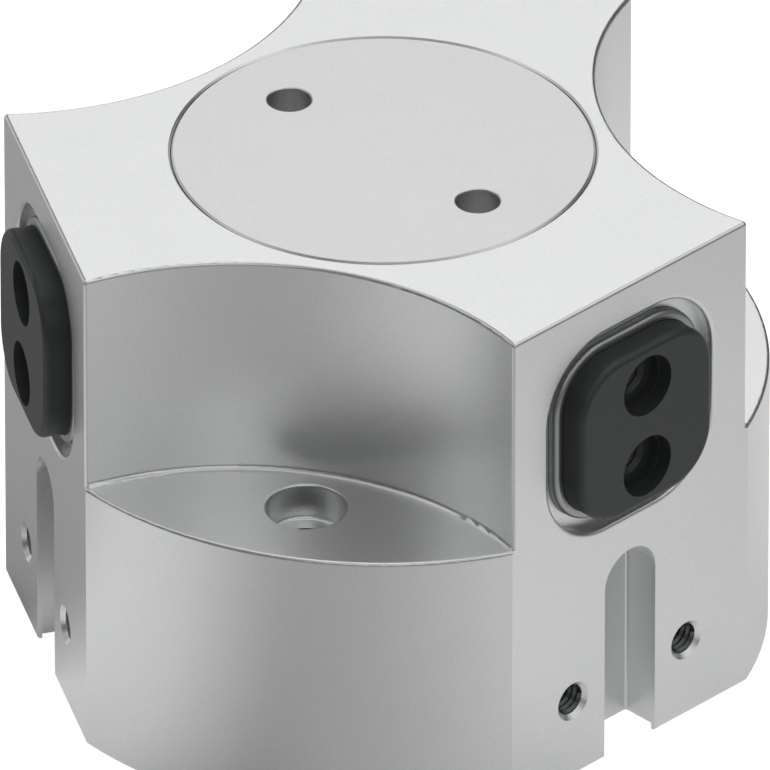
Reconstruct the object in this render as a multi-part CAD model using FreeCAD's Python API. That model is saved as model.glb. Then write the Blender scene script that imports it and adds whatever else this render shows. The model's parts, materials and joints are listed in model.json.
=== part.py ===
import FreeCAD, Part
import math
import os

# Three jaw centric gripper with a pneumatic piston and a wedge hook drive.
# Millimetres, +Z up. The origin is on the centre line at the bottom face.
# Jaw 1 faces +X, jaws 2 and 3 follow at 120 and 240 degrees, and all are shown closed.

Vector = FreeCAD.Vector
X = Vector(1, 0, 0)
Y = Vector(0, 1, 0)
Z = Vector(0, 0, 1)

# Lower end of the housing, from the bottom face upwards
bottom_lip = 0.75         # bottom face to the retaining ring
ring_thickness = 1.5
cap_dia = 36.0
cap_thickness = 2.75
cap_chamfer = 0.3
ring_groove_depth = 1.0
ring_groove_gap = 0.03    # on each side of the ring in its groove
ring_edge_gap = 0.1
ring_width = 3.2
ring_ear_radius = 2.1
ring_ear_hole_dia = 2.0
ring_ear_turn = 13.0      # degrees from the gap's middle to an ear's middle
ring_ear_sink = 1.6       # an ear's round end inside the ring's outer edge
ring_mouth_gap = 0.6
puller_hole_dia = 3.3
puller_hole_depth = 1.8

# Piston drive
piston_dia = 35.0
piston_thickness = 5.6
piston_stroke = 6.0
jaw_stroke = 4.0
end_gap = 0.1             # piston to each end stop
piston_gap = 0.1
piston_rim = 0.4
rod_dia = 10.0
rod_gap = 0.04
partition = 3.7           # wall between piston bore and wedge chamber
seal_seat_width = 2.0     # rod to the seat of its seal and bush
seal_seat_wall = 0.8
rod_bush_length = 1.3
rod_bush_rim = 0.2
rod_seal_lip = 0.35
rod_seal_hollow = 0.5     # share of the seal's length that is hollow
air_duct_dia = 1.2

# Wedge and its screw
chamber_dia = 28.0
wedge_gap = 0.3
wedge_head_gap = 0.2      # raised wedge to the cover
wedge_length = 11.0
wedge_inset = 3.5         # chamber wall to the incline at the jaw's height
incline_gap = 0.05
hook_lip = 1.5
hook_depth = 3.3
hook_neck = 3.1
hook_head = 5.9
hook_top_gap = 3.5        # tongue's end below the chamber's top
spigot_dia = 6.0
spigot_length = 3.0
spigot_gap = 0.02
wedge_screw_dia = 4.0
wedge_screw_core_dia = 3.3
wedge_screw_play = 0.15
wedge_screw_head_dia = 7.0
wedge_screw_head_length = 4.0
wedge_screw_head_gap = 0.1
wedge_screw_grip = 3.4
wedge_screw_rim = 0.3
wedge_screw_reach = 2.0   # its end above the piston's upper face
hex_across_flats = 3.0
hex_depth = 2.0

# Jaws and what surrounds them in each flat
jaw_size = 13.8
jaw_corner = 4.2
jaw_proud = 1.75          # closed jaw face in front of the flat
jaw_edge_fillet = 0.5
jaw_floor_gap = 1.8       # jaw above the chamber floor
jaw_hole_spacing = 7.1
jaw_step_dia = 4.65
jaw_step_depth = 0.8
jaw_thread_depth = 8.0
jaw_running_gap = 0.05
collar_gap = 0.06
collar_width = 0.7
collar_recess = 0.3       # collar face behind the flat
collar_fillet = 0.4
collar_depth = 3.0        # flat to the back of the collar
wiper_thickness = 1.4
wiper_lip = 0.35
wiper_lip_length = 0.6
pocket_gap = 1.0          # clear groove round the collar
pocket_depth = 1.1
pocket_corner = 6.0
pocket_fillet = 0.4
seat_gap = 0.03
same_plane = 0.01         # edges nearer than this lie in one plane

# Cover in the top
cover_dia = 32.0
cover_thickness = 3.0
cover_gap = 0.08
cover_chamfer = 0.15
cover_seal_wall = 0.5     # cover's lower face to its seal groove
pin_hole_dia = 3.3
pin_hole_spacing = 20.1
pin_hole_depth = 2.5
pin_hole_rim = 0.15

# Outer form of the housing
body_dia = 58.2
flat_depth = 2.8          # taken off the round bar at each jaw
flute_wall = 1.3          # least wall between the cover and a flute
ledge_rise = 2.3          # screw ledges above the chamber floor
corner_fillet = 0.25      # between flat and flute
flute_corner_inset = 0.12 # flute starts this far inside the flat's edge
top_edge_fillet = 0.3
ledge_edge_fillet = 0.27
ledge_foot_fillet = 0.4
bottom_chamfer = 0.15

# Mounting screws, M3 from above
screw_wall_distance = 4.6 # hole's centre from the flute wall
screw_hole_dia = 3.4
screw_head_dia = 6.05
screw_head_depth = 3.0
screw_head_fillet = 0.35
screw_rim_fillet = 0.2
sleeve_dia = 5.0          # centring sleeve recess, at the bottom and in the jaws
sleeve_depth = 1.2

# M3 threads, drawn at their core
thread_core_dia = 2.5
thread_rim_dia = 3.2
point_angle = 118.0

# Sensor slots, open to the bottom face
slot_opening = 5.35
slot_width = 6.5
slot_depth = 3.65
slot_lip = 0.37
slot_end_drop = 2.0       # centre of the rounded end below the bore's top
slot_corner = 0.25

# Threads beside the slots
side_thread_offset = 6.0
side_thread_rise = 1.6    # above the end cap
side_thread_depth = 5.4

# Seals
cord_dia = 1.5
groove_play = 0.25        # how much wider a groove is than its cord
seal_clear = 0.02
seal_hollow = 0.38        # radius of the piston seal's hollow to its width
seal_groove = (0.6, 1.5, 2.2)     # above the piston's lower face, width and depth
magnet_groove = (2.5, 1.0, 3.0)
magnet_sink = 0.6                 # magnet ring below the piston's edge
guide_groove = (3.9, 1.1, 1.2)

# Derived heights, from the bottom face upwards
ring_bottom = bottom_lip
cap_bottom = ring_bottom + ring_thickness
cap_top = cap_bottom + cap_thickness
piston_bottom = cap_top + end_gap
piston_top = piston_bottom + piston_thickness
bore_top = piston_top + piston_stroke + end_gap
chamber_floor = bore_top + partition
wedge_bottom = chamber_floor + wedge_gap
wedge_top = wedge_bottom + wedge_length
chamber_top = wedge_top + piston_stroke + wedge_head_gap
body_height = chamber_top + cover_thickness
seal_seat_bottom = bore_top + seal_seat_wall
seal_seat_split = chamber_floor - rod_bush_length
jaw_half = jaw_size / 2
jaw_height = chamber_floor + jaw_floor_gap + jaw_half
hook_top = chamber_top - hook_top_gap
ledge_height = chamber_floor + ledge_rise
slot_arch_height = bore_top - slot_end_drop
side_thread_height = cap_top + side_thread_rise

# Derived widths, from the centre line outwards
bore_radius = piston_dia / 2
chamber_radius = chamber_dia / 2
wedge_radius = chamber_radius - wedge_gap
wedge_mid_radius = chamber_radius - wedge_inset
seal_seat_radius = rod_dia / 2 + seal_seat_width
ring_groove_radius = cap_dia / 2 + ring_groove_depth
body_radius = body_dia / 2
flat_distance = body_radius - flat_depth
jaw_front = flat_distance + jaw_proud
collar_half = jaw_half + collar_width
pocket_half = collar_half + pocket_gap
wiper_depth = collar_depth + wiper_thickness
flute_innermost = cover_dia / 2 + flute_wall
screw_circle_radius = flute_innermost + screw_wall_distance
wedge_screw_core = wedge_screw_core_dia / 2
incline = math.degrees(math.atan(jaw_stroke / piston_stroke))
jaw_angles = (0, 120, 240)
flute_angles = (60, 180, 300)
flute_way = Vector(math.cos(math.radians(60)), math.sin(math.radians(60)), 0)
reach = body_dia          # longer than any cut needs
past = cover_thickness    # how far a cutting tool runs past a face


def turned(shape, angle):
    """A copy of the shape, turned about the centre line."""
    copy = shape.copy()
    copy.rotate(Vector(0, 0, 0), Z, angle)
    return copy


def all_round(shape, angles=jaw_angles):
    return [turned(shape, angle) for angle in angles]


def disc(radius, low, high):
    return Part.makeCylinder(radius, high - low, Vector(0, 0, low))


def ring(outer, inner, low, high):
    return disc(outer, low, high).cut(disc(inner, low - past, high + past))


def revolved(points):
    """A solid turned about the centre line from points (radius, height)."""
    corners = [Vector(radius, 0, height) for radius, height in points]
    outline = Part.makePolygon(corners + corners[:1])
    return Part.Face(outline).revolve(Vector(0, 0, 0), Z, 360)


def block(x_range, y_half, z_range):
    size = (x_range[1] - x_range[0], 2 * y_half, z_range[1] - z_range[0])
    return Part.makeBox(*size, Vector(x_range[0], -y_half, z_range[0]))


def rounded_prism(half, corner, x_range):
    """A rounded square along X, centred at the jaw height."""
    prism = block(x_range, half, (jaw_height - half, jaw_height + half))
    long_edges = [e for e in prism.Edges if abs(e.tangentAt(e.FirstParameter).x) > 0.5]
    return prism.makeFillet(corner, long_edges)


def bore_along_x(radius, x_range, y, z):
    return Part.makeCylinder(radius, x_range[1] - x_range[0], Vector(x_range[0], y, z), X)


def drilled(core_dia, rim_dia, face, depth, y, z):
    """A blind hole drilled into a face towards -X, with a drill point and a chamfered rim."""
    radius = core_dia / 2
    rim = rim_dia / 2
    point = radius / math.tan(math.radians(point_angle / 2))
    hole = bore_along_x(radius, (face - depth, face + past), y, z)
    tip = Part.makeCone(0, radius, point, Vector(face - depth - point, y, z), X)
    lead = Part.makeCone(radius, rim + past, rim + past - radius, Vector(face + radius - rim, y, z), X)
    return hole.fuse([tip, lead])


def edges_where(shape, test):
    return [e for e in shape.Edges if test(e.BoundBox)]


def toroid(middle_radius, height, radius):
    return Part.makeTorus(middle_radius, radius, Vector(0, 0, height))


def rounded_mouth(radius, fillet, face):
    """What a hole along Z also takes away where its rim is rounded."""
    mouth = disc(radius + fillet, face - fillet, face + past)
    return mouth.cut(toroid(radius + fillet, face - fillet, fillet))


def on_incline(shape):
    """Carries a shape from axes on the incline (X out of it, Z up along it) to jaw 1."""
    copy = shape.copy()
    copy.rotate(Vector(0, 0, 0), Y, -incline)
    copy.translate(Vector(wedge_mid_radius, 0, jaw_height))
    return copy


def flute_corner():
    """Where the flute at 60 degrees would meet the flat of jaw 1, without the fillet."""
    flat_half = math.sqrt(body_radius ** 2 - flat_distance ** 2)
    return Vector(flat_distance, flat_half - flute_corner_inset, 0)


def flute_circle():
    """Centre and radius of the flute at 60 degrees, through its corners and its innermost line."""
    corner = flute_corner()
    along = corner.dot(flute_way)
    across = math.sqrt(corner.dot(corner) - along ** 2)
    sagitta = along - flute_innermost
    radius = (sagitta ** 2 + across ** 2) / (2 * sagitta)
    return flute_way * (flute_innermost + radius), radius


def fluted_outline():
    """Seen from above: three flats and three flutes, with filleted corners between them."""
    centre, radius = flute_circle()
    fillet_x = flat_distance - corner_fillet
    fillet_y = centre.y - math.sqrt((radius + corner_fillet) ** 2 - (centre.x - fillet_x) ** 2)
    fillet_centre = Vector(fillet_x, fillet_y, 0)
    flat_end = Vector(flat_distance, fillet_y, 0)
    flute_end = centre + (fillet_centre - centre) * (radius / (radius + corner_fillet))
    outwards = (flat_end - fillet_centre) + (flute_end - fillet_centre)
    half_way = fillet_centre + outwards.normalize() * corner_fillet

    def other_side(point):
        return turned(Part.Vertex(point.x, -point.y, 0), 120).Point

    edges = [
        Part.makeLine(Vector(flat_distance, -fillet_y, 0), flat_end),
        Part.Arc(flat_end, half_way, flute_end).toShape(),
        Part.Arc(flute_end, flute_way * flute_innermost, other_side(flute_end)).toShape(),
        Part.Arc(other_side(flute_end), other_side(half_way), other_side(flat_end)).toShape(),
    ]
    return Part.Wire([turned(edge, angle) for angle in jaw_angles for edge in edges])


def flatted_bar(radius, low, high):
    flat = block((flat_distance, reach), reach, (low - past, high + past))
    return disc(radius, low, high).cut(all_round(flat))


def fluted_body():
    """The outer form: a round bar with three flats, and three flutes above their ledges."""
    base = flatted_bar(body_radius, 0, ledge_height)
    base = base.makeChamfer(bottom_chamfer, edges_where(base, lambda b: b.ZMax < bottom_chamfer))
    ledge_edges = edges_where(base, lambda b: b.ZMin > bottom_chamfer and b.ZMax - b.ZMin < same_plane)
    ledge_edges = [e for e in ledge_edges if isinstance(e.Curve, Part.Circle)]
    base = base.makeFillet(ledge_edge_fillet, ledge_edges)
    top = Part.Face(fluted_outline()).extrude(Z * (body_height - slot_arch_height))
    top.translate(Z * slot_arch_height)
    top = top.makeFillet(top_edge_fillet, edges_where(top, lambda b: b.ZMin > body_height - same_plane))
    return base.fuse([top, ledge_feet()]).removeSplitter()


def ledge_feet():
    """The concave fillets at the foot of the flute walls."""
    centre, radius = flute_circle()
    slab = flatted_bar(body_radius - ledge_edge_fillet, slot_arch_height, ledge_height + ledge_foot_fillet)
    flute = Part.makeCylinder(radius, body_height, centre + Z * ledge_height)
    flute = flute.makeFillet(ledge_foot_fillet, edges_where(flute, lambda b: b.ZMax < body_height))
    return slab.cut(all_round(flute))


def sensor_slot():
    """An undercut groove from the bottom face up to a rounded end."""
    opening_half = slot_opening / 2
    mouth = (flat_distance - slot_lip, flat_distance + past)
    opening = block(mouth, opening_half, (-past, slot_arch_height))
    opening = opening.fuse(bore_along_x(opening_half, mouth, 0, slot_arch_height))
    back = flat_distance - slot_depth
    room = (back, flat_distance - slot_lip)
    wide = block(room, slot_width / 2, (-past, slot_arch_height))
    wide = wide.fuse(bore_along_x(slot_width / 2, room, 0, slot_arch_height)).removeSplitter()
    wide = wide.makeFillet(slot_corner, edges_where(wide, lambda b: b.XMax < back + same_plane and b.ZMax > 0))
    return opening.fuse(wide)


def pocket():
    """The shallow recess in a flat that leaves a groove round the collar."""
    return rounded_prism(pocket_half, pocket_corner, (flat_distance - pocket_depth, flat_distance + past))


def jaw_passage():
    """Collar seat and jaw guide, from one flat to the wedge chamber."""
    seat_half = collar_half + seat_gap
    seat_corner = jaw_corner + collar_width + seat_gap
    seat = rounded_prism(seat_half, seat_corner, (flat_distance - wiper_depth, flat_distance + past))
    guide_half = jaw_half + jaw_running_gap
    guide = rounded_prism(guide_half, jaw_corner + jaw_running_gap, (chamber_radius / 2, flat_distance))
    return [seat, guide]


def side_threads():
    offsets = (-side_thread_offset, side_thread_offset)
    sizes = (thread_core_dia, thread_rim_dia, flat_distance, side_thread_depth)
    return [drilled(*sizes, y, side_thread_height) for y in offsets]


def air_ducts():
    """Oblique drillings from two side threads to the two ends of the piston bore."""
    radius = air_duct_dia / 2
    start = flat_distance - side_thread_depth + radius
    wall = math.sqrt(bore_radius ** 2 - side_thread_offset ** 2)
    ends = ((side_thread_offset, cap_top + radius / 2), (-side_thread_offset, bore_top - radius / 2))
    ducts = []
    for y, height in ends:
        way = Vector(wall - radius - start, 0, height - side_thread_height)
        ducts.append(Part.makeCylinder(radius, way.Length, Vector(start, y, side_thread_height), way))
    return ducts


def mounting_hole():
    """A screw hole through a ledge, with a head recess above and a sleeve recess below."""
    head_radius = screw_head_dia / 2
    head_floor = ledge_height - screw_head_depth
    hole = disc(screw_hole_dia / 2, -past, ledge_height)
    head = disc(head_radius, head_floor, ledge_height + past)
    head = head.makeFillet(screw_head_fillet, edges_where(head, lambda b: b.ZMax < ledge_height))
    sleeve = disc(sleeve_dia / 2, -past, sleeve_depth)
    hole = hole.fuse([head, rounded_mouth(head_radius, screw_rim_fillet, ledge_height), sleeve])
    hole.translate(X * screw_circle_radius)
    return hole


def chambers():
    """The bores on the centre line, from the cap seat up to the cover seat."""
    mouth = cover_dia / 2
    lead = cover_chamfer + past
    return [
        disc(cap_dia / 2, -past, cap_top),
        disc(ring_groove_radius, ring_bottom - ring_groove_gap, cap_bottom),
        disc(bore_radius, 0, bore_top),
        disc(rod_dia / 2 + rod_gap, 0, chamber_floor),
        disc(seal_seat_radius, seal_seat_bottom, chamber_floor + past),
        disc(chamber_radius, chamber_floor, body_height),
        disc(mouth, chamber_top, body_height + past),
        Part.makeCone(mouth, mouth + lead, lead, Vector(0, 0, body_height - cover_chamfer)),
    ]


def make_housing():
    housing = fluted_body().cut(all_round(pocket()))
    housing = housing.makeFillet(pocket_fillet, pocket_rims(housing))
    for tool in jaw_passage() + [sensor_slot()] + side_threads():
        housing = housing.cut(all_round(tool))
    housing = housing.cut(air_ducts())
    housing = housing.cut(all_round(mounting_hole(), flute_angles))
    return housing.cut(chambers())


def pocket_rims(housing):
    """The edges where the pockets meet their flats."""
    def on_rim(box):
        half = max(-box.YMin, box.YMax, jaw_height - box.ZMin, box.ZMax - jaw_height)
        return box.XMin > flat_distance - same_plane and half < pocket_half + same_plane

    rims = []
    for angle in jaw_angles:
        seen_from_jaw = turned(housing, -angle)
        rims += [edge for edge, seen in zip(housing.Edges, seen_from_jaw.Edges) if on_rim(seen.BoundBox)]
    return rims


def make_top_cover():
    """The flush cover, with an O-ring groove and two blind holes for a pin spanner."""
    cover = disc(cover_dia / 2 - cover_gap, chamber_top, body_height)
    cover = cover.makeChamfer(cover_chamfer, edges_where(cover, lambda b: b.ZMin > body_height - same_plane))
    cover = cover.cut(ring(reach, cover_dia / 2 - cord_dia, *cover_seal_range()))
    pin_hole = disc(pin_hole_dia / 2, body_height - pin_hole_depth, body_height + past)
    pin_hole = pin_hole.fuse(rounded_mouth(pin_hole_dia / 2, pin_hole_rim, body_height))
    pin_hole.translate(X * pin_hole_spacing / 2)
    return cover.cut(all_round(pin_hole, (0, 180)))


def cover_seal_range():
    low = chamber_top + cover_seal_wall
    return low, low + cord_dia + groove_play


def cap_seal_range():
    middle = (cap_bottom + cap_top) / 2
    half = (cord_dia + groove_play) / 2
    return middle - half, middle + half


def seal_cord(bore_dia, groove):
    """An O-ring in its groove, just clear of the bore that it seals."""
    low, high = groove
    return toroid(bore_dia / 2 - cord_dia / 2 - seal_clear, (low + high) / 2, cord_dia / 2 - seal_clear)


def make_end_cap():
    """The plug that closes the piston bore, with an O-ring groove and a puller hole."""
    cap = disc(cap_dia / 2 - cover_gap, cap_bottom, cap_top)
    cap = cap.makeChamfer(cap_chamfer, edges_where(cap, lambda b: b.ZMax - b.ZMin < same_plane))
    cap = cap.cut(ring(reach, cap_dia / 2 - cord_dia, *cap_seal_range()))
    return cap.cut(disc(puller_hole_dia / 2, cap_bottom - past, cap_bottom + puller_hole_depth))


def make_retaining_ring():
    """An internal circlip: eccentric inside, open between two ears with plier holes."""
    outer = ring_groove_radius - ring_edge_gap
    low = ring_bottom
    high = ring_bottom + ring_thickness
    eccentricity = ring_width / 4
    hollow = disc(outer - ring_width + eccentricity, low - past, high + past)
    hollow.translate(-Y * eccentricity)
    mouth = block((0, reach), ring_ear_radius + ring_mouth_gap, (low - past, high + past))
    body = disc(outer, low, high).cut([hollow, turned(mouth, -90)])
    ear_distance = outer - ring_ear_sink - ring_ear_radius
    ear = Part.makeCylinder(ring_ear_radius, ring_thickness, Vector(ear_distance, 0, low))
    tab = block((ear_distance, outer), ring_ear_radius, (low, high)).common(disc(outer, low, high))
    plier_hole = Part.makeCylinder(ring_ear_hole_dia / 2, reach, Vector(ear_distance, 0, low - past))
    ear_angles = (-90 - ring_ear_turn, -90 + ring_ear_turn)
    ears = all_round(ear.fuse(tab), ear_angles)
    return body.fuse(ears).removeSplitter().cut(all_round(plier_hole, ear_angles))


def make_rod_seal():
    """A lip seal round the piston rod, its hollow side towards the pressure below."""
    inner = rod_dia / 2 + rod_gap
    outer = seal_seat_radius - seal_clear
    low = seal_seat_bottom
    high = seal_seat_split - seal_clear
    middle = (inner + outer) / 2
    lip = rod_seal_lip
    hollow_top = low + (high - low) * rod_seal_hollow
    points = [
        (inner, low), (middle - lip, low), (middle, hollow_top), (middle + lip, low), (outer, low),
        (outer, high), (inner + lip, high), (inner + lip, hollow_top), (inner, low + lip),
    ]
    return revolved(points)


def make_rod_bush():
    inner = rod_dia / 2 + rod_gap
    outer = seal_seat_radius - seal_clear
    rim = rod_bush_rim
    low = seal_seat_split
    high = chamber_floor
    points = [
        (inner, low + rim), (inner + rim, low), (outer, low),
        (outer, high), (inner + rim, high), (inner, high - rim),
    ]
    return revolved(points)


def groove_cut(groove):
    start, width, depth = groove
    low = piston_bottom + start
    return ring(reach, bore_radius - depth, low, low + width)


def groove_ring(groove, outer):
    start, width, depth = groove
    low = piston_bottom + start
    return ring(outer, bore_radius - depth + seal_clear, low + seal_clear, low + width - seal_clear)


def make_piston():
    """Piston and rod in one piece, with ring grooves, a spigot and the wedge screw's thread."""
    outer = bore_radius - piston_gap
    rim = piston_rim
    rod = rod_dia / 2
    spigot = spigot_dia / 2
    points = [
        (0, piston_bottom), (outer - rim, piston_bottom), (outer, piston_bottom + rim),
        (outer, piston_top - rim), (outer - rim, piston_top), (rod, piston_top),
        (rod, wedge_bottom), (spigot, wedge_bottom), (spigot, wedge_bottom + spigot_length),
        (0, wedge_bottom + spigot_length),
    ]
    thread = disc(wedge_screw_core, piston_top, wedge_top)
    cuts = [groove_cut(groove) for groove in (seal_groove, magnet_groove, guide_groove)]
    return revolved(points).cut(cuts + [thread])


def make_piston_seal():
    """A double acting lip seal, hollowed on its outer face."""
    outer = bore_radius - seal_clear
    start, width, depth = seal_groove
    hollow = toroid(outer + width / 4, piston_bottom + start + width / 2, width * seal_hollow)
    return groove_ring(seal_groove, outer).cut(hollow)


def hook_slot():
    """The inclined T-slot in one face of the wedge."""
    neck_half = hook_neck / 2 + incline_gap
    head_half = hook_head / 2 + incline_gap
    lip = -incline_gap - hook_lip
    neck = block((lip - incline_gap, past), neck_half, (-reach, reach))
    head = block((-hook_depth - incline_gap, lip), head_half, (-reach, reach))
    return on_incline(neck.fuse(head))


def make_wedge():
    """The three-sided wedge that draws the jaws in and out through its T-slots."""
    outside = on_incline(block((-incline_gap, reach), reach, (-reach, reach)))
    wedge = disc(wedge_radius, wedge_bottom, wedge_top).cut(all_round(outside))
    wedge = wedge.cut(all_round(hook_slot()))
    grip_low = wedge_bottom + spigot_length + incline_gap
    bores = [
        disc(spigot_dia / 2 + spigot_gap, 0, grip_low),
        disc(wedge_screw_dia / 2 + wedge_screw_play, 0, reach),
        disc(wedge_screw_head_dia / 2 + wedge_screw_head_gap, grip_low + wedge_screw_grip, reach),
    ]
    return wedge.cut(bores)


def make_wedge_screw():
    """A socket head screw through the wedge into the rod, its thread drawn at the core."""
    shank_low = wedge_bottom + spigot_length
    seat = shank_low + incline_gap + wedge_screw_grip
    top = seat + wedge_screw_head_length
    head = disc(wedge_screw_head_dia / 2, seat, top)
    head = head.makeChamfer(wedge_screw_rim, edges_where(head, lambda b: b.ZMin > top - same_plane))
    shank = disc(wedge_screw_dia / 2 - spigot_gap, shank_low, seat)
    thread = disc(wedge_screw_core - spigot_gap, piston_top + wedge_screw_reach, shank_low)
    corner = Part.Vertex(hex_across_flats / math.sqrt(3), 0, top - hex_depth)
    corners = [turned(corner, 60 * i).Point for i in range(7)]
    socket = Part.Face(Part.makePolygon(corners)).extrude(Z * (hex_depth + past))
    return head.fuse([shank, thread]).cut(socket)


def hook_tongue():
    """The T-shaped tongue on a jaw's inclined face."""
    lip = -hook_lip - 2 * incline_gap
    neck = block((lip, hook_lip), hook_neck / 2, (-reach, reach))
    head = block((-hook_depth, lip), hook_head / 2, (-reach, reach))
    low = jaw_height - jaw_half + incline_gap
    return on_incline(neck.fuse(head)).common(block((0, reach), reach, (low, hook_top)))


def finger_hole():
    """A stepped recess for a centring sleeve, with the finger screw's thread behind it."""
    sleeve_floor = jaw_front - sleeve_depth
    step_floor = sleeve_floor - jaw_step_depth
    sleeve = bore_along_x(sleeve_dia / 2, (sleeve_floor, jaw_front + past), 0, jaw_height)
    step = bore_along_x(jaw_step_dia / 2, (step_floor, sleeve_floor), 0, jaw_height)
    depth = jaw_thread_depth - sleeve_depth - jaw_step_depth
    thread = drilled(thread_core_dia, thread_rim_dia, step_floor, depth, 0, jaw_height)
    return [sleeve, step, thread.common(block((0, step_floor), sleeve_dia / 2, (0, body_height)))]


def make_jaw():
    """A square jaw slide: inclined hook inside, two stepped holes with threads outside."""
    slide = rounded_prism(jaw_half, jaw_corner, (0, jaw_front))
    slide = slide.makeFillet(jaw_edge_fillet, edges_where(slide, lambda b: b.XMin > jaw_front - same_plane))
    slide = slide.cut(on_incline(block((-reach, 0), reach, (-reach, reach))))
    slide = slide.fuse(hook_tongue()).removeSplitter()
    for side in (-1, 1):
        for tool in finger_hole():
            tool.translate(Z * side * jaw_hole_spacing / 2)
            slide = slide.cut(tool)
    return slide


def jaw_opening(x_range):
    """The rounded square hole that a jaw slides through in its collar and wiper."""
    low, high = x_range
    return rounded_prism(jaw_half + collar_gap, jaw_corner + collar_gap, (low - past, high + past))


def make_jaw_collar():
    """The square ring pressed into the flat round a jaw."""
    front = flat_distance - collar_recess
    back = flat_distance - collar_depth
    collar = rounded_prism(collar_half, jaw_corner + collar_width, (back, front))
    collar = collar.makeFillet(collar_fillet, edges_where(collar, lambda b: b.XMin > front - same_plane))
    return collar.cut(jaw_opening((back, front)))


def make_jaw_wiper():
    """The wiper behind a collar, thinner where its lip meets the jaw."""
    front = flat_distance - collar_depth - seal_clear
    back = flat_distance - wiper_depth
    wiper = rounded_prism(collar_half, jaw_corner + collar_width, (back, front))
    relief_range = (back - past, front - wiper_lip_length)
    relief = rounded_prism(jaw_half + wiper_lip, jaw_corner + wiper_lip, relief_range)
    return wiper.cut([jaw_opening((back, front)), relief])


def save(name, shape):
    solids = shape.Solids
    piece = solids[0] if len(solids) == 1 else Part.makeCompound(solids)
    piece.exportStep("parts/" + name + ".step")
    print(name, len(solids), round(piece.Volume, 1), piece.isValid())


def main():
    os.makedirs("parts", exist_ok=True)
    save("housing", make_housing())
    save("top_cover", make_top_cover())
    save("cover_seal", seal_cord(cover_dia, cover_seal_range()))
    save("end_cap", make_end_cap())
    save("end_cap_seal", seal_cord(cap_dia, cap_seal_range()))
    save("retaining_ring", make_retaining_ring())
    save("rod_seal", make_rod_seal())
    save("rod_bush", make_rod_bush())
    save("piston", make_piston())
    save("piston_seal", make_piston_seal())
    save("magnet_ring", groove_ring(magnet_groove, bore_radius - magnet_sink))
    save("piston_guide_ring", groove_ring(guide_groove, bore_radius - seal_clear))
    save("wedge", make_wedge())
    save("wedge_screw", make_wedge_screw())
    for number, angle in enumerate(jaw_angles, 1):
        save("jaw_" + str(number), turned(make_jaw(), angle))
        save("jaw_collar_" + str(number), turned(make_jaw_collar(), angle))
        save("jaw_wiper_" + str(number), turned(make_jaw_wiper(), angle))


main()
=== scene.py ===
import json
import math
import bmesh
import bpy
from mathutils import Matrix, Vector


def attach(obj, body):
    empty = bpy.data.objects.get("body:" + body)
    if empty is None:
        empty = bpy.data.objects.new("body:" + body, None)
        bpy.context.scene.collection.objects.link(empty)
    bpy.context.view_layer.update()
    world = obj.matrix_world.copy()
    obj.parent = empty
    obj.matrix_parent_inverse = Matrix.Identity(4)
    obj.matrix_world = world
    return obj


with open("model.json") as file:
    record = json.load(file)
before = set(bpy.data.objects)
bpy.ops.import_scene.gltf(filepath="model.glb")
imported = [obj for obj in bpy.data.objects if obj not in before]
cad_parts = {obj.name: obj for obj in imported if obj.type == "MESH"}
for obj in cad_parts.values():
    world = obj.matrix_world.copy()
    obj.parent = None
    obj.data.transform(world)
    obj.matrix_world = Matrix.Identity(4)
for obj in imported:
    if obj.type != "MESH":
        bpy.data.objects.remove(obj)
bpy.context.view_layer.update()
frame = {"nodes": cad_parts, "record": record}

mm = 0.001
record = frame["record"]
print("frame loaded,", len(frame["nodes"]), "CAD nodes")


# Helpers

def hexToLinear(code):
    # The standard sRGB curve, and 1 for alpha.
    channels = [int(code[i:i + 2], 16) / 255 for i in (1, 3, 5)]
    return [c / 12.92 if c <= 0.04045 else ((c + 0.055) / 1.055) ** 2.4 for c in channels] + [1.0]


def addNode(tree, kind, settings=None, links=None):
    # Settings go to the socket of that name, or else to the node itself.
    node = tree.nodes.new(kind)
    for name, value in (settings or {}).items():
        if name in node.inputs:
            node.inputs[name].default_value = value
        else:
            setattr(node, name, value)
    for name, source in (links or {}).items():
        tree.links.new(source, node.inputs[name])
    return node


def newMaterial(name):
    material = bpy.data.materials.new(name)
    material.use_nodes = True
    material.node_tree.nodes.clear()
    return material, material.node_tree


def noiseScale(size):
    return 1 / (size * mm)    # size of one grain in mm


def ringScale(pitch):
    # Distance between turned lines in mm. At a scale of 1 a wave texture repeats every pi / 10.
    return math.pi / 10 / (pitch * mm)


def directionOf(azimuth, elevation):
    # Azimuth 0 lies on -Y and 90 on +X, in degrees.
    a, e = math.radians(azimuth), math.radians(elevation)
    return Vector((math.sin(a) * math.cos(e), -math.cos(a) * math.cos(e), math.sin(e)))


def linkObject(name, mesh):
    thing = bpy.data.objects.new(name, mesh)
    bpy.context.scene.collection.objects.link(thing)
    return thing


# Camera at the photograph's angle, far off with a long lens

cameraSettings = {
    "azimuth": 45.32,
    "elevation": 32.52,
    "distance": 2.5,                  # metres
    "clip": (0.25, 25.0),
    "lens": 1552.0,                   # mm, which gives 13.28 pixels for a mm of the part
    "sensor": 36.0,
    "target": (0.087, 0.087, 20.1),   # mm
}


def makeCamera(settings):
    back = directionOf(settings["azimuth"], settings["elevation"])
    data = bpy.data.cameras.new("catalogueCamera")
    data.lens = settings["lens"]
    data.sensor_width = settings["sensor"]
    data.clip_start, data.clip_end = settings["clip"]
    camera = linkObject("catalogueCamera", data)
    camera.location = Vector(settings["target"]) * mm + back * settings["distance"]
    camera.rotation_euler = back.to_track_quat("Z", "Y").to_euler()
    bpy.context.scene.camera = camera


makeCamera(cameraSettings)
bpy.context.scene.view_settings.view_transform = "Standard"
print("camera placed")


# Studio: white surroundings, a pale floor and soft boxes

worldSettings = {
    "white": 1.0,         # what the camera sees
    "mirrored": 0.01,     # what metal mirrors of it, beside the soft boxes
    "light": 0.02,        # what it gives to matt surfaces
}


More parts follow.
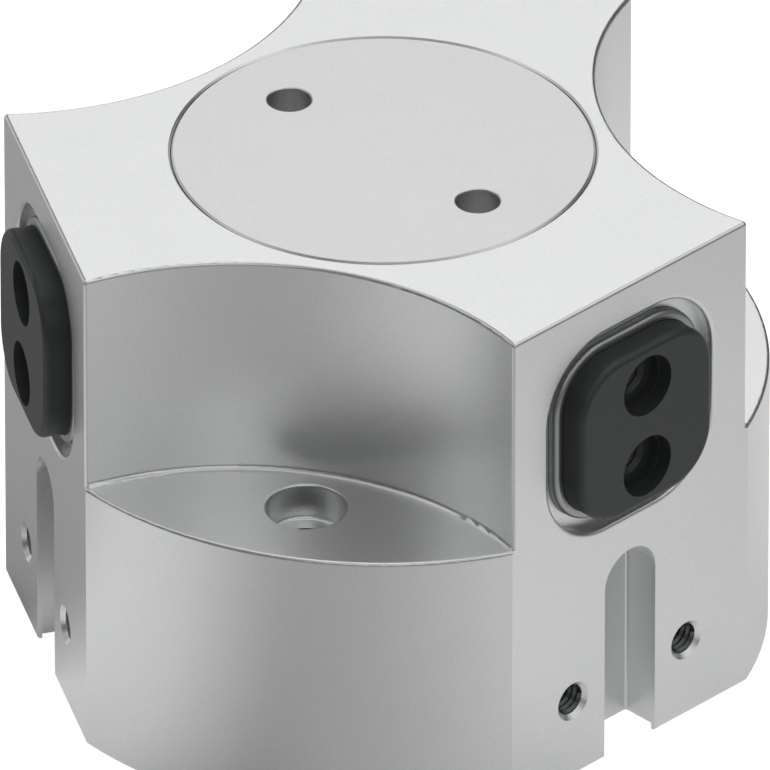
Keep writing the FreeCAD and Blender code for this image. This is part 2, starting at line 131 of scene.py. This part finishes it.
def makeWorld(settings):
    world = bpy.data.worlds.new("studioSurroundings")
    bpy.context.scene.world = world
    world.use_nodes = True
    tree = world.node_tree
    tree.nodes.clear()
    path = addNode(tree, "ShaderNodeLightPath").outputs
    indirect = addNode(tree, "ShaderNodeMix", {"A": settings["light"], "B": settings["mirrored"]},
                       {"Factor": path["Is Glossy Ray"]})
    strength = addNode(tree, "ShaderNodeMix", {"B": settings["white"]},
                       {"Factor": path["Is Camera Ray"], "A": indirect.outputs["Result"]})
    sky = addNode(tree, "ShaderNodeBackground", {"Color": (1, 1, 1, 1)},
                  {"Strength": strength.outputs["Result"]})
    addNode(tree, "ShaderNodeOutputWorld", links={"Surface": sky.outputs["Background"]})


floorSettings = {
    "halfWidth": 3.0,     # metres
    "drop": 0.05,         # mm below the bottom face, so that the two don't lie in one plane
    "colour": "#D2D2D2",
    "white": 0.86,        # glow that makes the lit paper white to the camera and leaves it a faint shadow
    # Painted reflection, seen only by metal: a glow on the floor round the part, brighter on some sides than
    # others. 0 and 1 lie on -X, 0.25 on -Y, 0.5 on +X, 0.75 on +Y.
    "mirrored": [(0.125, 0.0), (0.1875, 0.48), (0.25, 0.36), (0.3125, 0.0), (0.375, 0.09),
                 (0.5, 0.43), (0.625, 0.3), (0.75, 0.47), (0.875, 0.0)],
    "fade": (0.06, 0.16),  # metres from the centre line between which that fades to nothing
}


def makeFloor(settings):
    bm = bmesh.new()
    bmesh.ops.create_grid(bm, x_segments=1, y_segments=1, size=settings["halfWidth"])
    bmesh.ops.translate(bm, verts=bm.verts[:], vec=(0, 0, -settings["drop"] * mm))
    mesh = bpy.data.meshes.new("studioFloor")
    bm.to_mesh(mesh)
    bm.free()
    # White paper: matt, and lit from behind so that it reads as white. Metal also sees a painted reflection
    # in it: a glow round the part, brighter on some sides.
    material, tree = newMaterial("whiteBackdropPaper")
    path = addNode(tree, "ShaderNodeLightPath").outputs
    place = addNode(tree, "ShaderNodeTexCoord").outputs["Object"]
    around = addNode(tree, "ShaderNodeTexGradient", {"gradient_type": "RADIAL"}, {"Vector": place})
    ramp = addNode(tree, "ShaderNodeValToRGB", links={"Fac": around.outputs["Fac"]})
    stops = ramp.color_ramp.elements
    for position, level in settings["mirrored"]:
        stops.new(position).color = (level, level, level, 1)
    stops.remove(stops[0])    # the two that a new ramp comes with, at 0 and 1
    stops.remove(stops[-1])
    outwards = addNode(tree, "ShaderNodeVectorMath", {"operation": "LENGTH"})
    tree.links.new(place, outwards.inputs[0])
    full, gone = settings["fade"]
    fade = addNode(tree, "ShaderNodeMapRange",
                   {"interpolation_type": "SMOOTHSTEP", "From Min": gone, "From Max": full},
                   {"Value": outwards.outputs["Value"]})
    # Painted reflection: the glow round the part, fading out with distance, that only glossy rays see.
    paintedReflection = addNode(tree, "ShaderNodeMix", {"A": 0.0},
                   {"Factor": fade.outputs["Result"], "B": ramp.outputs["Color"]})
    mirrored = addNode(tree, "ShaderNodeMix", {"A": 0.0},
                       {"Factor": path["Is Glossy Ray"], "B": paintedReflection.outputs["Result"]})
    glow = addNode(tree, "ShaderNodeMix", {"B": settings["white"]},
                   {"Factor": path["Is Camera Ray"], "A": mirrored.outputs["Result"]})
    paper = addNode(tree, "ShaderNodeBsdfDiffuse", {"Color": hexToLinear(settings["colour"])})
    light = addNode(tree, "ShaderNodeEmission", {"Color": (1, 1, 1, 1)}, {"Strength": glow.outputs["Result"]})
    both = addNode(tree, "ShaderNodeAddShader")
    tree.links.new(paper.outputs["BSDF"], both.inputs[0])
    tree.links.new(light.outputs["Emission"], both.inputs[1])
    addNode(tree, "ShaderNodeOutputMaterial", links={"Surface": both.outputs["Shader"]})
    mesh.materials.append(material)
    linkObject("studioFloor", mesh)


softBoxes = {
    "distance": 0.7,      # metres from the bottom face's centre
    "size": 0.4,
    # Azimuth and elevation in degrees, and power in watts.
    "places": {
        "left": (270, 12, 0.44),
        "frontLeft": (0, 36, 0.09),
        "front": (45, 36, 0.57),
        "leftHigh": (315, 36, 0.42),
        "rightHigh": (90, 36, 0.47),
        "backRight": (135, 36, 0.36),
        "back": (225, 36, 0.53),
        "leftTop": (315, 60, 0.29),
        "backRightTop": (135, 60, 0.5),
        "backTop": (180, 60, 0.12),
        "backLeftTop": (225, 60, 0.49),
        "top": (45, 89, 0.59),
    },
}


def makeSoftBox(name, settings):
    azimuth, elevation, power = settings["places"][name]
    data = bpy.data.lights.new(name + "SoftBox", "AREA")
    data.size = settings["size"]
    data.energy = power
    lamp = linkObject(name + "SoftBox", data)
    back = directionOf(azimuth, elevation)
    lamp.location = back * settings["distance"]
    lamp.rotation_euler = back.to_track_quat("Z", "Y").to_euler()
    lamp.visible_camera = False


makeWorld(worldSettings)
makeFloor(floorSettings)
for boxName in softBoxes["places"]:
    makeSoftBox(boxName, softBoxes)
print("studio lit")


# Finishes. Each mixes a fine grain with slow clouds, in colour and roughness, and the grain also stands up
# in height. Grain, cloud, height and rings are in mm. All grains are drawn at 0.1 to 0.2 mm, coarser than
# the real ones, because finer ones don't show.

finishes = {
    # Aluminium, glass blasted and clear anodised: an even, bright, silky grey with soft reflections.
    "blastedAnodisedAluminium": {"colours": ("#D6D8D7", "#ECEDEC"), "metallic": 1.0,
                                 "roughness": (0.34, 0.40), "grain": 0.15, "cloud": 7.0,
                                 "cloudShare": 0.25, "height": 0.01},
    # Aluminium, face turned and clear anodised: a shade darker, with hardly visible rings.
    "turnedAnodisedAluminium": {"colours": ("#C8C8C8", "#DFDFDF"), "metallic": 1.0,
                                "roughness": (0.34, 0.40), "grain": 0.15, "cloud": 7.0,
                                "cloudShare": 0.25, "height": 0.01, "rings": 0.3},
    # Aluminium drawn a darker grey than the housing: painted shade for the recess round each jaw, which the
    # jaw shades.
    "collarPaintedShadeAluminium": {"colours": ("#A0A2A1", "#ACAEAD"), "metallic": 1.0, "roughness": (0.38, 0.44),
                              "grain": 0.15, "cloud": 4.0, "cloudShare": 0.25, "height": 0.003},
    # Aluminium cut by a tap, drawn dark as painted shade: its steep flanks sit deep in the hole and mostly
    # mirror one another.
    "tappedAluminiumPaintedShade": {"colours": ("#565958", "#626564"), "metallic": 1.0, "roughness": (0.3, 0.4),
                        "grain": 0.12, "cloud": 2.0, "cloudShare": 0.3, "height": 0.001},
    # Aluminium, turned and left bare: shinier, with rings from the tool.
    "turnedAluminium": {"colours": ("#CFD0D1", "#DCDDDE"), "metallic": 1.0, "roughness": (0.22, 0.32),
                        "grain": 0.12, "cloud": 5.0, "cloudShare": 0.4, "height": 0.001, "rings": 0.2},
    # Tool steel, ground and blackened: nearly black, with a dull sheen on its rounded edges.
    "blackenedSteel": {"colours": ("#323534", "#3C3F3E"), "metallic": 0.15, "roughness": (0.42, 0.52),
                       "grain": 0.12, "cloud": 4.0, "cloudShare": 0.4, "height": 0.002},
    # Hardened steel, ground: grey, smooth and fairly bright.
    "groundSteel": {"colours": ("#94969A", "#A5A7AA"), "metallic": 1.0, "roughness": (0.2, 0.3),
                    "grain": 0.1, "cloud": 5.0, "cloudShare": 0.4, "height": 0.001},
    # Spring steel, phosphated: dark grey and dry looking.
    "phosphatedSteel": {"colours": ("#38393A", "#46474A"), "metallic": 0.8, "roughness": (0.5, 0.62),
                        "grain": 0.1, "cloud": 3.0, "cloudShare": 0.4, "height": 0.003},
    # Screw steel, black oxide: black with an oily sheen.
    "blackOxideSteel": {"colours": ("#2A2A2C", "#353538"), "metallic": 0.9, "roughness": (0.3, 0.4),
                        "grain": 0.1, "cloud": 2.0, "cloudShare": 0.4, "height": 0.001},
    # Sintered bronze: warm, open grained and matt.
    "sinteredBronze": {"colours": ("#8A6536", "#A98350"), "metallic": 1.0, "roughness": (0.42, 0.58),
                       "grain": 0.1, "cloud": 1.5, "cloudShare": 0.4, "height": 0.004},
    # Nitrile rubber, moulded: black and softly shining.
    "nitrileRubber": {"colours": ("#151515", "#1C1C1C"), "metallic": 0.0, "roughness": (0.45, 0.55),
                      "grain": 0.2, "cloud": 3.0, "cloudShare": 0.4, "height": 0.002},
    # Polyurethane, moulded: black, a little duller than the rubber.
    "polyurethane": {"colours": ("#1B1B1D", "#232326"), "metallic": 0.0, "roughness": (0.5, 0.6),
                     "grain": 0.2, "cloud": 3.0, "cloudShare": 0.4, "height": 0.002},
    # PTFE filled with bronze: waxy brown band.
    "filledPtfe": {"colours": ("#84735A", "#97866C"), "metallic": 0.0, "roughness": (0.4, 0.5),
                   "grain": 0.12, "cloud": 1.5, "cloudShare": 0.4, "height": 0.002},
    # Ferrite powder in nylon: matt charcoal.
    "bondedFerrite": {"colours": ("#292727", "#343131"), "metallic": 0.1, "roughness": (0.55, 0.65),
                      "grain": 0.12, "cloud": 1.5, "cloudShare": 0.4, "height": 0.003},
}
finishOfSlot = {
    "housing": "blastedAnodisedAluminium", "cover": "turnedAnodisedAluminium",
    # The collar is drawn darker grey: painted shade in the recess round each jaw.
    "collar": "collarPaintedShadeAluminium",
    "jaw": "blackenedSteel", "drive_steel": "groundSteel", "piston": "turnedAluminium",
    "spring_steel": "phosphatedSteel", "screw": "blackOxideSteel", "seal": "nitrileRubber",
    "wiper": "polyurethane", "guide_ring": "filledPtfe", "magnet": "bondedFerrite", "bush": "sinteredBronze",
}
patternSettings = {
    "grainDetail": 2.0,
    "cloudDetail": 3.0,
    "ringWobble": 0.3,
    "ringShare": 0.3,     # how much of the height the rings take, beside the grain
}


def makeFinish(name, look, pattern):
    material, tree = newMaterial(name)
    place = addNode(tree, "ShaderNodeTexCoord").outputs["Object"]
    grain = addNode(tree, "ShaderNodeTexNoise",
                    {"Scale": noiseScale(look["grain"]), "Detail": pattern["grainDetail"]}, {"Vector": place})
    cloud = addNode(tree, "ShaderNodeTexNoise",
                    {"Scale": noiseScale(look["cloud"]), "Detail": pattern["cloudDetail"]}, {"Vector": place})
    mixed = addNode(tree, "ShaderNodeMix", {"Factor": look["cloudShare"]},
                    {"A": grain.outputs["Fac"], "B": cloud.outputs["Fac"]}).outputs["Result"]
    height = grain.outputs["Fac"]
    if "rings" in look:
        rings = addNode(tree, "ShaderNodeTexWave",
                        {"wave_type": "RINGS", "rings_direction": "Z",
                         "Scale": ringScale(look["rings"]), "Distortion": pattern["ringWobble"]},
                        {"Vector": place})
        height = addNode(tree, "ShaderNodeMix", {"Factor": pattern["ringShare"]},
                         {"A": height, "B": rings.outputs["Fac"]}).outputs["Result"]
    colour = addNode(tree, "ShaderNodeMix", {"data_type": "RGBA"}, {"Factor": mixed})
    for socket, code in zip(("A", "B"), look["colours"]):
        rgba = next(s for s in colour.inputs if s.name == socket and s.type == "RGBA")
        rgba.default_value = hexToLinear(code)
    colourOut = next(s for s in colour.outputs if s.type == "RGBA")
    low, high = look["roughness"]
    rough = addNode(tree, "ShaderNodeMapRange", {"To Min": low, "To Max": high}, {"Value": mixed})
    bump = addNode(tree, "ShaderNodeBump", {"Distance": look["height"] * mm}, {"Height": height})
    shader = addNode(tree, "ShaderNodeBsdfPrincipled", {"Metallic": look["metallic"]},
                     {"Base Color": colourOut, "Roughness": rough.outputs["Result"],
                      "Normal": bump.outputs["Normal"]})
    addNode(tree, "ShaderNodeOutputMaterial", links={"Surface": shader.outputs["BSDF"]})
    return material


materialOf = {name: makeFinish(name, look, patternSettings) for name, look in finishes.items()}
for part in record["subparts"]:
    for slot in frame["nodes"][part["node"]].material_slots:
        slot.material = materialOf[finishOfSlot[part["material_slot"]]]
print("finishes given to the CAD nodes")


# M3 threads in the holes that the CAD leaves at their core size

threadSettings = {
    "pitch": 0.5,         # all lengths in mm
    "ridge": 0.2,         # height of the ridge, inwards from the hole's wall
    "crest": 0.07,        # width at its top
    "root": 0.49,         # width at the wall
    "steps": 36,          # faces round one turn
}


def makeThread(mount, settings):
    radius = mount["dims"]["r_mm"]
    pitch = settings["pitch"]
    turns = math.floor((mount["dims"]["length_mm"] - settings["root"]) / pitch)
    bm = bmesh.new()
    root, crest, inner = settings["root"] / 2, settings["crest"] / 2, radius - settings["ridge"]
    outline = (radius, 0, -root), (radius, 0, root), (inner, 0, crest), (inner, 0, -crest)
    corners = [bm.verts.new(spot) for spot in outline]
    section = corners + [bm.edges.new((corners[i - 1], corners[i])) for i in range(len(corners))]
    bmesh.ops.spin(bm, geom=section, cent=(0, 0, 0), axis=(0, 0, 1), angle=turns * 2 * math.pi,
                   steps=turns * settings["steps"], dvec=(0, 0, pitch / settings["steps"]))
    bmesh.ops.holes_fill(bm, edges=bm.edges[:], sides=len(corners))    # the ridge's two ends
    bmesh.ops.recalc_face_normals(bm, faces=bm.faces[:])
    bmesh.ops.translate(bm, verts=bm.verts[:], vec=(0, 0, -turns * pitch / 2))
    bmesh.ops.scale(bm, verts=bm.verts[:], vec=(mm, mm, mm))
    turn = Vector(mount["axis"]).to_track_quat("Z", "Y").to_matrix()
    bmesh.ops.rotate(bm, verts=bm.verts[:], cent=(0, 0, 0), matrix=turn)
    bmesh.ops.translate(bm, verts=bm.verts[:], vec=Vector(mount["pos_m"]))
    mesh = bpy.data.meshes.new(mount["name"] + "_ridge")
    bm.to_mesh(mesh)
    bm.free()
    for face in mesh.polygons:
        face.use_smooth = False
    thread = linkObject(mount["name"] + "_ridge", mesh)
    inJaw = mount["name"].startswith("jaw")
    # Threads in the housing are drawn dark: painted shade deep in the holes.
    mesh.materials.append(materialOf["blackenedSteel" if inJaw else "tappedAluminiumPaintedShade"])
    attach(thread, mount["name"][:5] if inJaw else "housing")    # jaw_1_upper_thread rides on jaw_1


for threadMount in record["mounts"]:
    if threadMount["kind"] == "threaded_hole":
        makeThread(threadMount, threadSettings)
print("threads cut")
